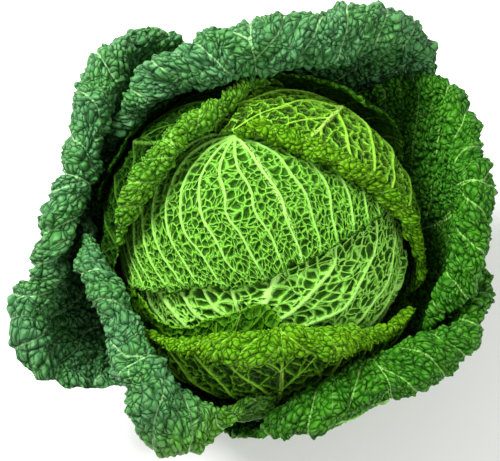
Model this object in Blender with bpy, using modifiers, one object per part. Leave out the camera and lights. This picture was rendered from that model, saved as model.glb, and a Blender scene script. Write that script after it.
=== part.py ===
"""Savoy cabbage on its cut stalk: a tight head, the leaves that wrap it, and five open outer leaves.

Metres, +Z up, origin at the centre of the stalk's cut face, which rests on the surface.

Every leaf is one open sheet that starts at the stalk, follows its own layer round the head, rises to
a crest and rolls outwards there. Its upper face looks at the head. Solidify gives the sheet its thickness on
the outer side, where the midrib and the side ribs stand out.
"""

import bmesh
import bpy
import numpy as np

# The head is a ball, flatter above and below its widest line. A layer is the same shape, grown by an offset.
HEAD_RADIUS = 0.082
HEAD_HEIGHT = 0.092  # of its widest line above the surface
FLATTEN_TOP = 0.78
FLATTEN_BOTTOM = 0.80
HEART_INSET = 0.0045  # the heart is this much smaller than the head leaves' layer

STALK_RADIUS = 0.0235
STALK_TOP = 0.0300  # the heart sits on it
STALK_CUT_RADIUS = 0.0205  # of the flat face that the cabbage rests on
STALK_SIDES = 30
SHOULDER = 0.0035  # width of the stalk's rounded upper edge
CUT_EDGE = 0.0012  # of the bevel round the cut face
SCAR_HEIGHTS = (0.022, 0.016, 0.010, 0.004)  # where trimmed leaves left their scars
SCAR_DEPTH = 0.0012
ROOT_GAP = 0.0004  # between the stalk and what grows from it

HEART_SEGMENTS = 36
HEART_RINGS = 18
HEART_LEAVES = 5
HEART_TWIST = 0.9  # turns of one leaf's width that its edge makes from the middle to the crown
HEART_STEP = 0.0022
HEART_RIB = 0.0008
HEART_RIB_WIDTH = 0.08  # share of a heart leaf's width

BLADE = 0.0013
RIM_BLADE = 0.0008
RIB_BASE = 0.0040  # midrib's height at the stalk on an outer leaf
RIB_TIP = 0.0010
RIB_WIDTH = 0.0050
SIDE_RIB = 0.0010
SIDE_RIB_EVERY = 4  # columns of the sheet between two side ribs
PUCKER = 0.0010
RIM_PUCKER = 0.0019
STEEPEST = 0.24  # a pucker's height is at most this share of the step between rows of the rim

WALL_SAMPLES = 61
RISEN_BY = 0.8  # height over the head's lowest point, in radii, at which a leaf has its full offset
FLARE_FROM = 0.35  # share of the wall's way at which it starts to leave its layer
STRAIGHT_OUT = 0.15  # how much the roll's axis is steadied where a leaf's rim runs down into its side
BELLY_ANGLE = 94.0  # degrees from straight up, where the leaf is aimed on its way round the head
BELLY_PULL = 1.25
STEEP_ANGLE = 75.0  # degrees from straight up, past which a crest point's belly is aimed lower
BELLY_DROP = 1.0
CLASP = 38.0  # degrees of the stalk that a leaf holds, to each side of its midrib
LOW_OFFSET = 0.63  # share of a leaf's offset that is left at the stalk
ON = None  # a crest point's height or its distance from the axis is then that of the leaf's own layer

# A leaf is its midrib's azimuth in degrees, its layer's offset, how far its sides reach round the head in
# degrees, the depth of the waves in its crest, its grid (columns, rows of the wall, rows of the rolled rim),
# the shares of the puckers and the ribs that it has, its colour, and its crest from one side to the other.
# A crest point is: azimuth in degrees, distance from the axis, height, radius of the roll, degrees it turns.
LEAVES = {
    "head_leaf_lower": dict(
        midrib=257, offset=0.0, reach=60, waves=0.0008, grid=(20, 13, 1), pucker=0.4, rib=0.35,
        green="pale",
        crest=[(191, ON, 0.066, 0.012, 12), (192, ON, 0.092, 0.012, 12), (191, 0.077, ON, 0.012, 12),
               (184, 0.063, ON, 0.012, 12), (150, 0.044, ON, 0.012, 12), (100, 0.034, ON, 0.012, 12),
               (45, 0.045, ON, 0.012, 12), (16, 0.064, ON, 0.009, 18), (5, 0.0755, ON, 0.008, 25),
               (358, 0.0800, ON, 0.007, 35), (350, 0.0830, 0.105, 0.0055, 50),
               (344, ON, 0.093, 0.007, 35), (339, ON, 0.080, 0.010, 20), (335, ON, 0.066, 0.012, 12)]),
    "head_leaf_upper": dict(
        midrib=108, offset=0.0045, reach=80, waves=0.0008, grid=(22, 13, 1), pucker=0.4, rib=0.4,
        green="pale",
        crest=[(19, ON, 0.068, 0.012, 12), (19, ON, 0.092, 0.012, 12), (16, 0.079, ON, 0.012, 12),
               (6, 0.0673, ON, 0.012, 12), (351, 0.0508, ON, 0.010, 15), (327, 0.0375, ON, 0.010, 16),
               (280, 0.034, ON, 0.010, 16), (250, 0.043, ON, 0.010, 16), (226, 0.055, ON, 0.010, 16),
               (214, 0.070, ON, 0.010, 16), (206, 0.079, ON, 0.010, 15), (198, ON, 0.092, 0.012, 12),
               (198, ON, 0.070, 0.012, 12)]),
    "wrapper_leaf_thin": dict(
        midrib=250, offset=0.0077, reach=56, waves=0.0012, grid=(16, 7, 1), pucker=0.5, rib=0.25,
        green="moss",
        crest=[(190, ON, 0.068, 0.012, 12), (198, ON, 0.088, 0.008, 20), (207, 0.086, ON, 0.005, 40),
               (227, 0.081, ON, 0.004, 55), (240, 0.070, ON, 0.004, 55), (254, 0.0575, ON, 0.004, 50),
               (265, 0.0525, ON, 0.004, 45), (275, 0.0600, ON, 0.0045, 40), (284, 0.0680, ON, 0.005, 35),
               (298, 0.078, ON, 0.006, 25), (307, ON, 0.096, 0.008, 20), (312, ON, 0.072, 0.012, 12)]),
    "wrapper_leaf_right": dict(
        midrib=56, offset=0.0104, reach=72, waves=0.0012, grid=(22, 8, 5), pucker=0.8, rib=0.55,
        green="lime",
        crest=[(338, ON, 0.064, 0.012, 12), (343, ON, 0.083, 0.008, 35),
               (350, 0.092, 0.104, 0.0045, 150), (358, 0.083, 0.123, 0.0055, 215),
               (8, 0.071, ON, 0.0065, 222), (24, 0.055, ON, 0.007, 225), (50, 0.043, ON, 0.007, 228),
               (76, 0.043, ON, 0.0066, 228), (97, 0.048, ON, 0.006, 195), (111, 0.054, ON, 0.0045, 110),
               (123, 0.064, ON, 0.0045, 60), (132, 0.080, ON, 0.006, 40), (138, ON, 0.092, 0.010, 15),
               (141, ON, 0.066, 0.012, 12)]),
    "wrapper_leaf_bottom": dict(
        midrib=274, offset=0.0147, reach=58, waves=0.0012, grid=(21, 7, 5), pucker=0.8, rib=0.5,
        green="lime",
        crest=[(210, ON, 0.064, 0.012, 12), (215, ON, 0.084, 0.006, 50), (222, 0.0925, ON, 0.004, 110),
               (231, 0.0875, ON, 0.0045, 180), (244, 0.079, ON, 0.008, 228),
               (260, 0.072, ON, 0.010, 232), (278, 0.069, ON, 0.010, 232),
               (297, 0.074, ON, 0.0092, 228), (311, 0.084, ON, 0.0065, 222),
               (321, 0.092, 0.110, 0.005, 210), (329, 0.0955, ON, 0.0045, 110),
               (335, ON, 0.078, 0.006, 50), (340, ON, 0.062, 0.012, 12)]),
    "wrapper_leaf_left": dict(
        midrib=144, offset=0.0161, reach=60, waves=0.0015, grid=(21, 7, 5), pucker=0.8, rib=0.3,
        green="spring",
        crest=[(78, ON, 0.066, 0.012, 12), (84, ON, 0.090, 0.008, 25), (91, 0.0905, ON, 0.003, 100),
               (102, 0.078, ON, 0.006, 200), (118, 0.067, ON, 0.0075, 218),
               (142, 0.064, ON, 0.0078, 222), (164, 0.069, ON, 0.0078, 222),
               (180, 0.079, ON, 0.0065, 215), (188, 0.086, ON, 0.0034, 110),
               (194, 0.092, ON, 0.003, 80), (199, ON, 0.084, 0.008, 25), (203, ON, 0.064, 0.012, 12)]),
    "wrapper_leaf_shaded": dict(
        midrib=105, offset=0.0233, reach=66, waves=0.0018, grid=(18, 6, 2), pucker=0.8, rib=0.7,
        green="bottle",
        crest=[(30, ON, 0.062, 0.012, 12), (36, ON, 0.084, 0.006, 40), (45, 0.101, ON, 0.0035, 80),
               (60, 0.097, ON, 0.0035, 90), (82, 0.0995, ON, 0.0035, 80), (105, 0.103, ON, 0.0035, 70),
               (128, 0.102, ON, 0.0035, 70), (148, 0.1015, ON, 0.0035, 70),
               (163, 0.102, ON, 0.0035, 70), (172, ON, 0.084, 0.006, 40), (178, ON, 0.062, 0.012, 12)]),
    "outer_leaf_right": dict(
        midrib=8, offset=0.0290, reach=56, waves=0.0025, grid=(23, 8, 6), pucker=1.0, rib=1.0,
        green="leaf",
        crest=[(311, ON, 0.058, 0.012, 14), (321, ON, 0.078, 0.008, 35),
               (331, 0.108, 0.099, 0.0045, 120), (341, 0.109, 0.113, 0.008, 185),
               (353, 0.111, 0.124, 0.011, 200), (6, 0.112, 0.130, 0.0115, 205),
               (22, 0.117, 0.128, 0.0110, 205), (33, 0.128, 0.122, 0.0105, 200),
               (41, 0.136, 0.112, 0.008, 170), (50, 0.126, 0.096, 0.005, 90),
               (60, ON, 0.076, 0.008, 35), (68, ON, 0.058, 0.012, 14)]),
    "outer_leaf_lower_left": dict(
        midrib=220, offset=0.0290, reach=52, waves=0.0025, grid=(23, 8, 6), pucker=1.0, rib=1.0,
        green="blue",
        crest=[(163, ON, 0.058, 0.012, 14), (170, ON, 0.078, 0.008, 40),
               (179, 0.105, 0.102, 0.005, 130), (192, 0.100, 0.117, 0.0095, 200),
               (209, 0.096, 0.121, 0.012, 212), (226, 0.098, 0.121, 0.0120, 218),
               (237, 0.104, 0.118, 0.0150, 220), (246, 0.108, 0.111, 0.0172, 212),
               (256, 0.109, 0.104, 0.0105, 150), (263, 0.102, 0.108, 0.005, 110),
               (270, 0.099, 0.111, 0.004, 100), (274, 0.104, 0.092, 0.005, 60),
               (276, ON, 0.076, 0.008, 40), (279, ON, 0.058, 0.012, 14)]),
    "outer_leaf_top": dict(
        midrib=92, offset=0.0370, reach=58, waves=0.0025, grid=(25, 8, 6), pucker=1.0, rib=1.0,
        green="blue",
        crest=[(34, ON, 0.060, 0.012, 14), (41, 0.131, 0.080, 0.008, 40),
               (48, 0.145, 0.105, 0.0085, 105), (56, 0.133, 0.128, 0.013, 185),
               (68, 0.106, 0.138, 0.0172, 222), (84, 0.094, 0.140, 0.0168, 225),
               (100, 0.091, 0.140, 0.0172, 222), (116, 0.093, 0.137, 0.0148, 220),
               (130, 0.100, 0.128, 0.0105, 212), (140, 0.107, 0.112, 0.0065, 170),
               (148, 0.112, 0.090, 0.006, 80), (156, ON, 0.064, 0.012, 14)]),
    "outer_leaf_lower_right": dict(
        midrib=308, offset=0.0388, reach=50, waves=0.0025, grid=(23, 8, 6), pucker=1.0, rib=1.0,
        green="leaf",
        crest=[(256, ON, 0.058, 0.012, 14), (262, ON, 0.076, 0.008, 40),
               (270, 0.112, 0.096, 0.006, 140), (278, 0.105, 0.110, 0.0105, 200),
               (289, 0.101, 0.116, 0.0135, 212), (304, 0.101, 0.117, 0.0160, 215),
               (320, 0.109, 0.113, 0.0148, 215), (334, 0.122, 0.106, 0.010, 205),
               (344, 0.129, 0.094, 0.007, 160), (352, 0.126, 0.076, 0.008, 60),
               (360, ON, 0.058, 0.012, 14)]),
    "outer_leaf_left": dict(
        midrib=166, offset=0.0440, reach=58, waves=0.0025, grid=(25, 8, 6), pucker=1.0, rib=1.0,
        green="blue",
        crest=[(105, ON, 0.060, 0.012, 14), (112, 0.128, 0.084, 0.009, 45),
               (120, 0.139, 0.106, 0.009, 140), (131, 0.130, 0.118, 0.0112, 205),
               (142, 0.118, 0.122, 0.0120, 215), (156, 0.112, 0.122, 0.0112, 215),
               (170, 0.1115, 0.120, 0.0102, 210), (182, 0.117, 0.114, 0.0112, 205),
               (193, 0.125, 0.106, 0.0115, 180), (203, 0.143, 0.092, 0.0145, 130),
               (212, 0.143, 0.075, 0.012, 70), (221, 0.126, 0.060, 0.012, 30),
               (228, ON, 0.050, 0.012, 14)]),
}

GREENS = {
    "pale": (0.36, 0.55, 0.13, 1.0),
    "moss": (0.12, 0.27, 0.03, 1.0),
    "lime": (0.26, 0.45, 0.04, 1.0),
    "spring": (0.16, 0.38, 0.05, 1.0),
    "bottle": (0.03, 0.12, 0.02, 1.0),
    "leaf": (0.05, 0.22, 0.03, 1.0),
    "blue": (0.035, 0.15, 0.07, 1.0),
    "stalk": (0.62, 0.68, 0.42, 1.0),
}
LEAF_ROUGHNESS = 0.55
SHARP_EDGE = 50.0  # degrees


def unit(vectors):
    """The vectors at length 1."""
    return vectors / np.maximum(np.linalg.norm(vectors, axis=-1, keepdims=True), 1e-12)


def direction(azimuth, angle):
    """Unit vectors from the head's centre, at an azimuth and an angle from straight up, in degrees."""
    a, p = np.radians(azimuth), np.radians(angle)
    return np.stack([np.cos(a) * np.sin(p), np.sin(a) * np.sin(p), np.cos(p) + 0 * a], -1)


def layer_radius(way, offset):
    """Distance from the head's centre to the layer of that offset, along unit vectors."""
    flatten = np.where(way[..., 2] > 0, FLATTEN_TOP, FLATTEN_BOTTOM)
    shape = np.sqrt(way[..., 0] ** 2 + way[..., 1] ** 2 + (way[..., 2] / flatten) ** 2)
    return (HEAD_RADIUS + offset) / shape


def layer_height(radius, offset):
    """Height above the surface of the layer's upper half, at a distance from the axis."""
    return HEAD_HEIGHT + FLATTEN_TOP * np.sqrt((HEAD_RADIUS + offset) ** 2 - radius**2)


def layer_reach(z, offset):
    """Distance from the axis of the layer's lower half, at a height above the surface."""
    return np.sqrt((HEAD_RADIUS + offset) ** 2 - ((z - HEAD_HEIGHT) / FLATTEN_BOTTOM) ** 2)


def curve_through(rows, where):
    """A smooth curve through the rows, at places 0 to 1 along it."""
    steps = np.linalg.norm(np.diff(rows[:, :3], axis=0), axis=1) ** 0.75
    knots = np.concatenate([[0], np.cumsum(steps)]) / steps.sum()
    slopes = np.gradient(rows, knots, axis=0)
    i = np.clip(np.searchsorted(knots, where, side="right") - 1, 0, len(rows) - 2)
    span = (knots[i + 1] - knots[i])[:, None]
    u = (where - knots[i])[:, None] / span
    return (
        (2 * u**3 - 3 * u**2 + 1) * rows[i]
        + (u**3 - 2 * u**2 + u) * span * slopes[i]
        + (3 * u**2 - 2 * u**3) * rows[i + 1]
        + (u**3 - u**2) * span * slopes[i + 1]
    )


def waves(s, seed, count=4):
    """A gentle random wave along the crest, about 1 high, the same each run."""
    random = np.random.default_rng(seed)
    total = np.zeros_like(s)
    for k in range(count):
        height = random.uniform(0.5, 1) / np.sqrt(k + 1)
        pitch = (k + 1.3) * random.uniform(1.2, 1.8)
        total += height * np.sin(np.pi * pitch * s + random.uniform(0, 2 * np.pi))
    return total / 1.6


def crest_of(leaf, seed, s):
    """The crest at places s from -1 to 1: its way from the head's centre, its height over the leaf's layer,
    and its roll's radius and angle in radians."""
    rows = []
    for azimuth, r, z, roll, turn in leaf["crest"]:
        height = layer_height(r, leaf["offset"]) if z is ON else z
        reach = layer_reach(z, leaf["offset"]) if r is ON else r
        angle = np.radians(azimuth)
        point = np.array([reach * np.cos(angle), reach * np.sin(angle), height - HEAD_HEIGHT])
        distance = np.linalg.norm(point)
        way = point / distance
        rows.append([*way, distance - layer_radius(way, leaf["offset"]), roll, turn])
    crest = curve_through(np.array(rows), (s + 1) / 2)
    way = crest[:, :3]
    way[:, 2] += leaf["waves"] / HEAD_RADIUS * waves(s, seed)
    rise = crest[:, 3] + 0.7 * leaf["waves"] * waves(s, seed + 50)
    roll = crest[:, 4] * (1 + 0.12 * waves(s, seed + 99, 5))
    return unit(way), rise, roll, np.radians(crest[:, 5])


def root_points(leaf, s):
    """Where the leaf leaves the stalk: its own layer, at the stalk's side."""
    azimuth = np.radians(leaf["midrib"] + CLASP * s)
    radius = STALK_RADIUS + ROOT_GAP
    ball = HEAD_RADIUS + LOW_OFFSET * leaf["offset"]
    height = HEAD_HEIGHT - FLATTEN_BOTTOM * np.sqrt(ball**2 - radius**2)
    return np.stack([radius * np.cos(azimuth), radius * np.sin(azimuth), height + 0 * s], -1)


def leaf_sheet(leaf, seed, s, t):
    """Points of the leaf's upper face: a row for each s from side to side, a column for each t up from the
    stalk. The wall takes t from 0 to 1, and the rolled rim takes it from 1 to 2."""
    centre = np.array([0, 0, HEAD_HEIGHT])
    crest_way, rise, rolls, turns = crest_of(leaf, seed, s)
    root_way = unit(root_points(leaf, s) - centre)
    crest_angle = np.degrees(np.arccos(crest_way[:, 2]))
    belly_angle = BELLY_ANGLE + BELLY_DROP * np.clip(crest_angle - STEEP_ANGLE, 0, None)
    belly_way = direction(leaf["midrib"] + leaf["reach"] * s, belly_angle)

    def wall(q):
        """Points at shares q of the way from stalk to crest: a row of shares for each s."""
        share = q[..., None]
        way = unit(
            (1 - share) ** 2 * root_way[:, None]
            + 2 * share * (1 - share) * BELLY_PULL * belly_way[:, None]
            + share**2 * crest_way[:, None]
        )
        risen = np.clip((way[..., 2] + 1) / RISEN_BY, 0, 1)
        offset = leaf["offset"] * (LOW_OFFSET + (1 - LOW_OFFSET) * risen)
        flare = np.clip((q - FLARE_FROM) / (1 - FLARE_FROM), 0, 1) ** 2
        return centre + way * (layer_radius(way, offset) + rise[:, None] * flare)[..., None]

    fine = np.linspace(0, 1, WALL_SAMPLES)
    lengths = np.linalg.norm(np.diff(wall(np.tile(fine, (len(s), 1))), axis=1), axis=2).cumsum(axis=1)
    lengths = np.insert(lengths, 0, 0, axis=1)
    even = np.array([np.interp(np.clip(t, 0, 1) * total[-1], total, fine) for total in lengths])
    sheet = wall(even)
    end = wall(np.ones((len(s), 1)))[:, 0]
    before = wall(np.full((len(s), 1), 0.97))[:, 0]
    along = unit(np.gradient(end, axis=0))
    outwards = np.cross(along, unit(end - before))
    outwards *= np.sign(np.sum(outwards * (end - centre), axis=1))[:, None]
    outwards += STRAIGHT_OUT * crest_way
    outwards = unit(outwards - along * np.sum(outwards * along, axis=1)[:, None])
    onwards = np.cross(outwards, along)
    onwards *= np.sign(np.sum(onwards * (end - before)))
    angle = (turns[:, None] * np.clip(t - 1, 0, 1))[..., None]
    rolled = end[:, None] + rolls[:, None, None] * (
        np.sin(angle) * onwards[:, None] + (1 - np.cos(angle)) * outwards[:, None]
    )
    return np.where((t > 1)[None, :, None], rolled, sheet)


def sheet_normals(sheet):
    """Unit normals of the sheet, pointing at the head."""
    return unit(np.cross(np.gradient(sheet, axis=1), np.gradient(sheet, axis=0)))


def new_material(name, colour, roughness):
    """A Principled material."""
    material = bpy.data.materials.new(name)
    material.use_nodes = True
    shader = material.node_tree.nodes["Principled BSDF"]
    shader.inputs["Base Color"].default_value = colour
    shader.inputs["Roughness"].default_value = roughness
    return material


def finish(piece, name, green):
    """Names the piece, puts it in the cabbage's collection and gives it its own material."""
    piece.name = name
    piece.data.name = name
    for collection in piece.users_collection:
        collection.objects.unlink(piece)
    cabbage.objects.link(piece)
    piece.data.materials.clear()
    piece.data.materials.append(new_material(name, GREENS[green], LEAF_ROUGHNESS))
    piece.data.shade_smooth()
    piece.data.set_sharp_from_angle(angle=np.radians(SHARP_EDGE))


def make_leaf(name, leaf, seed):
    """A grid bent to the leaf's sheet, puckered, and thickened on its outer side, most of all at the ribs."""
    columns, wall_rows, rim_rows = leaf["grid"]
    rows = wall_rows + rim_rows + 1
    bpy.ops.mesh.primitive_grid_add(x_subdivisions=rows - 1, y_subdivisions=columns - 1, size=2)
    piece = bpy.context.object
    s = np.linspace(-1, 1, columns)
    t = np.append(np.arange(wall_rows) / wall_rows, 1 + np.arange(rim_rows + 1) / rim_rows)
    sheet = leaf_sheet(leaf, seed, s, t)
    normals = sheet_normals(sheet)
    row, column = np.meshgrid(np.arange(rows), np.arange(columns))
    odd = 1 - 2.0 * ((row + column) % 2)
    rim_step = np.linalg.norm(sheet[:, -1] - sheet[:, -2], axis=1)[:, None]
    rim_pucker = np.minimum(RIM_PUCKER, STEEPEST * rim_step)
    pucker = np.where(t > 1, rim_pucker, PUCKER * np.clip(row / 3, 0, 1))
    sheet += (leaf["pucker"] * pucker * odd)[..., None] * normals
    piece.data.vertices.foreach_set("co", sheet.ravel())

    width = np.linalg.norm(np.diff(sheet, axis=0), axis=2).cumsum(axis=0)
    across = np.concatenate([np.zeros((1, rows)), width])
    across -= across[columns // 2]
    rib_height = RIB_TIP + (RIB_BASE - RIB_TIP) * np.clip(1 - t, 0, 1) ** 1.5
    midrib = rib_height * np.exp(-((across / RIB_WIDTH) ** 2))
    on_side_rib = (column - columns // 2) % SIDE_RIB_EVERY == 0
    thickness = np.where(t < 1, BLADE + leaf["rib"] * np.maximum(midrib, SIDE_RIB * on_side_rib), RIM_BLADE)
    thickest = thickness.max()
    group = piece.vertex_groups.new(name="thickness")
    for index, share in enumerate((thickness / thickest).ravel()):
        group.add([index], float(share), "REPLACE")

    mesh = bmesh.new()
    mesh.from_mesh(piece.data)
    bmesh.ops.triangulate(mesh, faces=mesh.faces)
    mesh.to_mesh(piece.data)
    mesh.free()
    solidify = piece.modifiers.new("Blade", "SOLIDIFY")
    solidify.thickness = thickest
    solidify.offset = -1
    solidify.vertex_group = group.name
    finish(piece, name, leaf["green"])


def make_stalk():
    """The cut stalk: a turned stub with a flat cut face, a softly rounded rim and shallow leaf scars."""
    profile = [(0, STALK_TOP), (STALK_RADIUS - SHOULDER, STALK_TOP)]
    profile += [(STALK_RADIUS - SHOULDER / 4, STALK_TOP - SHOULDER / 3)]
    for height in SCAR_HEIGHTS:
        profile += [(STALK_RADIUS - SCAR_DEPTH / 5, height + SCAR_DEPTH), (STALK_RADIUS - SCAR_DEPTH, height)]
    profile += [(STALK_CUT_RADIUS + CUT_EDGE, CUT_EDGE), (STALK_CUT_RADIUS, 0), (0, 0)]
    mesh = bpy.data.meshes.new("stalk")
    edges = [(i, i + 1) for i in range(len(profile) - 1)]
    mesh.from_pydata([(x, 0, z) for x, z in profile], edges, [])
    piece = bpy.data.objects.new("stalk", mesh)
    bpy.context.scene.collection.objects.link(piece)
    screw = piece.modifiers.new("Turn", "SCREW")
    screw.steps = screw.render_steps = STALK_SIDES
    screw.use_merge_vertices = True
    screw.merge_threshold = 0.00005
    finish(piece, "stalk", "stalk")


def make_heart():
    """The dense heart: a ball whose packed leaves' edges run round it as steps, each leaf with its rib."""
    bpy.ops.mesh.primitive_uv_sphere_add(segments=HEART_SEGMENTS, ring_count=HEART_RINGS, radius=1)
    piece = bpy.context.object
    count = len(piece.data.vertices)
    way = np.empty(3 * count)
    piece.data.vertices.foreach_get("co", way)
    way = unit(way.reshape(-1, 3))
    azimuth = np.arctan2(way[:, 1], way[:, 0])
    turns = azimuth / (2 * np.pi) * HEART_LEAVES + way[:, 2] * HEART_TWIST
    step = turns - np.floor(turns)
    rib = np.exp(-(((step - 0.5) / HEART_RIB_WIDTH) ** 2))
    shown = np.clip(2 * way[:, 2], 0, 1) * np.clip(12 * (1 - way[:, 2]), 0, 1)  # fades below and at the crown
    relief = shown * (HEART_STEP * (step - 0.5) + HEART_RIB * rib)
    radius = layer_radius(way, -HEART_INSET) + relief
    points = way * radius[:, None] + [0, 0, HEAD_HEIGHT]
    points[:, 2] = np.maximum(points[:, 2], STALK_TOP + ROOT_GAP)
    piece.data.vertices.foreach_set("co", points.ravel())
    finish(piece, "heart", "pale")


for item in list(bpy.data.objects):
    bpy.data.objects.remove(item)
cabbage = bpy.data.collections.new("savoy_cabbage")
bpy.context.scene.collection.children.link(cabbage)
make_stalk()
make_heart()
for number, (leaf_name, leaf_shape) in enumerate(LEAVES.items()):
    make_leaf(leaf_name, leaf_shape, number + 1)
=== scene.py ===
# %% [markdown]
# # A savoy cabbage
#
# A savoy is a cabbage whose leaves grow faster than their veins, so that every patch of leaf between two
# veins puffs up. Seen from above, a leaf is a quilt of blisters with sunken veins. Seen from below, the
# same veins stand out as a pale net, and the blisters are pockets between them. This file builds each
# leaf as a fine mesh, and gives both faces their finish.
#
# The construction model comes first. It is loaded as a fixed frame, and every fine leaf replaces one
# coarse one.

from types import SimpleNamespace

import bpy
import numpy as np
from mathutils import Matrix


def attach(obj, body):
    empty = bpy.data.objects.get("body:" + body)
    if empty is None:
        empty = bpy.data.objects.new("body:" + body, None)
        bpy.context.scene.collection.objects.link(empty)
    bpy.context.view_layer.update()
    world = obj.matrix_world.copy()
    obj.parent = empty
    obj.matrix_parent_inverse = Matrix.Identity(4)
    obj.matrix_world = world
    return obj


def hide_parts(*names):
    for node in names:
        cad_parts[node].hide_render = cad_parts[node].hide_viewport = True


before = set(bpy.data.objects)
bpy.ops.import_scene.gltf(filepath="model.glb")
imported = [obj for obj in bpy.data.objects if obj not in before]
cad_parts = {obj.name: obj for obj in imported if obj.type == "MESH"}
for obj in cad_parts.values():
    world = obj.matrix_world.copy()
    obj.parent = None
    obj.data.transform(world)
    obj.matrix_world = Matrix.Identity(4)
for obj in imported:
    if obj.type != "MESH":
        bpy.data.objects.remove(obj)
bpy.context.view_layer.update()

# %% [markdown]
# The camera comes next, because it says which faces have to be finest. It looks down on the cabbage at a
# steep angle, from a good distance, with a long lens that keeps the far leaves as large as the near
# ones.

# %% Camera
CAMERA_HEIGHT_ANGLE = np.radians(76)
CAMERA_DISTANCE = 0.850
CAMERA_TARGET = np.array([-0.010, 0.004, 0.100])
LENS_MM = 100

camera = bpy.data.objects.new("camera", bpy.data.cameras.new("camera"))
bpy.context.scene.collection.objects.link(camera)
back = np.array([0, -np.cos(CAMERA_HEIGHT_ANGLE), np.sin(CAMERA_HEIGHT_ANGLE)])
camera.location = CAMERA_TARGET + CAMERA_DISTANCE * back
camera.rotation_euler = (np.pi / 2 - CAMERA_HEIGHT_ANGLE, 0, 0)
camera.data.lens = LENS_MM
bpy.context.scene.camera = camera
print("camera at", [round(x, 3) for x in camera.location])

# %% [markdown]
# The form of a leaf is the construction model's own: a sheet that leaves the stalk, follows a layer
# round the ball of the head, rises to a crest and rolls outwards. These are its driving sizes, in
# metres. They are the same as in the model, because a fine leaf has to keep the form of the coarse leaf
# that it replaces. Sculpting could give a leaf more chance folds, but it wouldn't stay on the coarse
# one.
#
# - `midrib` is the azimuth of a leaf's middle, and `reach` is half the angle that it spans round the
#   head's belly, in degrees. `offset` is how far its layer lies outside the head's own surface.
# - `waves` is the height of the slow waves in its crest.
# - `fan` says where the veins spread from one point: that point, a second one on the middle vein, both
#   as seen from above, and the degrees between two veins.
# - `crest` holds the points that the crest passes through. Each is an azimuth in degrees, a distance
#   from the axis, a height, the radius of the roll there, and the degrees that it turns.

# %% Sizes of the head
HEAD_RADIUS = 0.082
HEAD_HEIGHT = 0.092  # of the head's widest line above the surface
FLATTEN_TOP = 0.78
FLATTEN_BOTTOM = 0.80
STALK_RADIUS = 0.0235
ROOT_GAP = 0.0004
CLASP = 38.0  # half the angle, in degrees, that a leaf's foot spans round the stalk
LOW_OFFSET = 0.63  # share of its offset that a leaf has at the stalk
RISEN_BY = 0.8  # height over the head's lowest point, in radii, at which a leaf has its full offset
BELLY_ANGLE = 94.0  # degrees down from the top at which a leaf is widest
BELLY_PULL = 1.25
STEEP_ANGLE = 75.0  # a crest that is lower than this many degrees draws the belly down with it
BELLY_DROP = 1.0
FLARE_FROM = 0.35  # share of the way to the crest from which a leaf leaves its layer
STRAIGHT_OUT = 0.15  # how much a roll leans away from the head's centre
ON = None  # a crest point's height or its distance from the axis is then that of the leaf's own layer

LEAVES = {}
print("head, in mm:", 2000 * HEAD_RADIUS, "across")

# %% [markdown]
# The two head leaves lie close on the heart and hardly roll. Each one's crest crosses the top of the
# ball, so from above it looks like a free edge across the head.

# %% The head leaves
LEAVES["head_leaf_lower"] = dict(
    midrib=257, offset=0.0, reach=60, waves=0.0008, fan=((-0.011, -0.060), (0.020, 0.010), 52),
    crest=[
        (191, ON, 0.066, 0.012, 12), (192, ON, 0.092, 0.012, 12), (191, 0.077, ON, 0.012, 12),
        (184, 0.063, ON, 0.012, 12), (150, 0.044, ON, 0.012, 12), (100, 0.034, ON, 0.012, 12),
        (45, 0.045, ON, 0.012, 12), (16, 0.064, ON, 0.009, 18), (5, 0.0755, ON, 0.008, 25),
        (358, 0.0800, ON, 0.007, 35), (350, 0.0830, 0.105, 0.0055, 50), (344, ON, 0.093, 0.007, 35),
        (339, ON, 0.080, 0.010, 20), (335, ON, 0.066, 0.012, 12),
    ])
LEAVES["head_leaf_upper"] = dict(
    midrib=108, offset=0.0045, reach=80, waves=0.0008, fan=((-0.018, 0.046), (0.014, -0.012), 33),
    crest=[
        (19, ON, 0.068, 0.012, 12), (19, ON, 0.092, 0.012, 12), (16, 0.079, ON, 0.012, 12),
        (6, 0.0673, ON, 0.012, 12), (351, 0.0508, ON, 0.010, 15), (327, 0.0375, ON, 0.010, 16),
        (280, 0.034, ON, 0.010, 16), (250, 0.043, ON, 0.010, 16), (226, 0.055, ON, 0.010, 16),
        (214, 0.070, ON, 0.010, 16), (206, 0.079, ON, 0.010, 15), (198, ON, 0.092, 0.012, 12),
        (198, ON, 0.070, 0.012, 12),
    ])
print(len(LEAVES), "leaves so far")

# %% [markdown]
# The wrapper leaves cup the head. Their crests rise round it, and on three of them the rim rolls back in
# more than half a turn, which shows its blistered upper face. The rolls get narrow at a leaf's sides.

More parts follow.
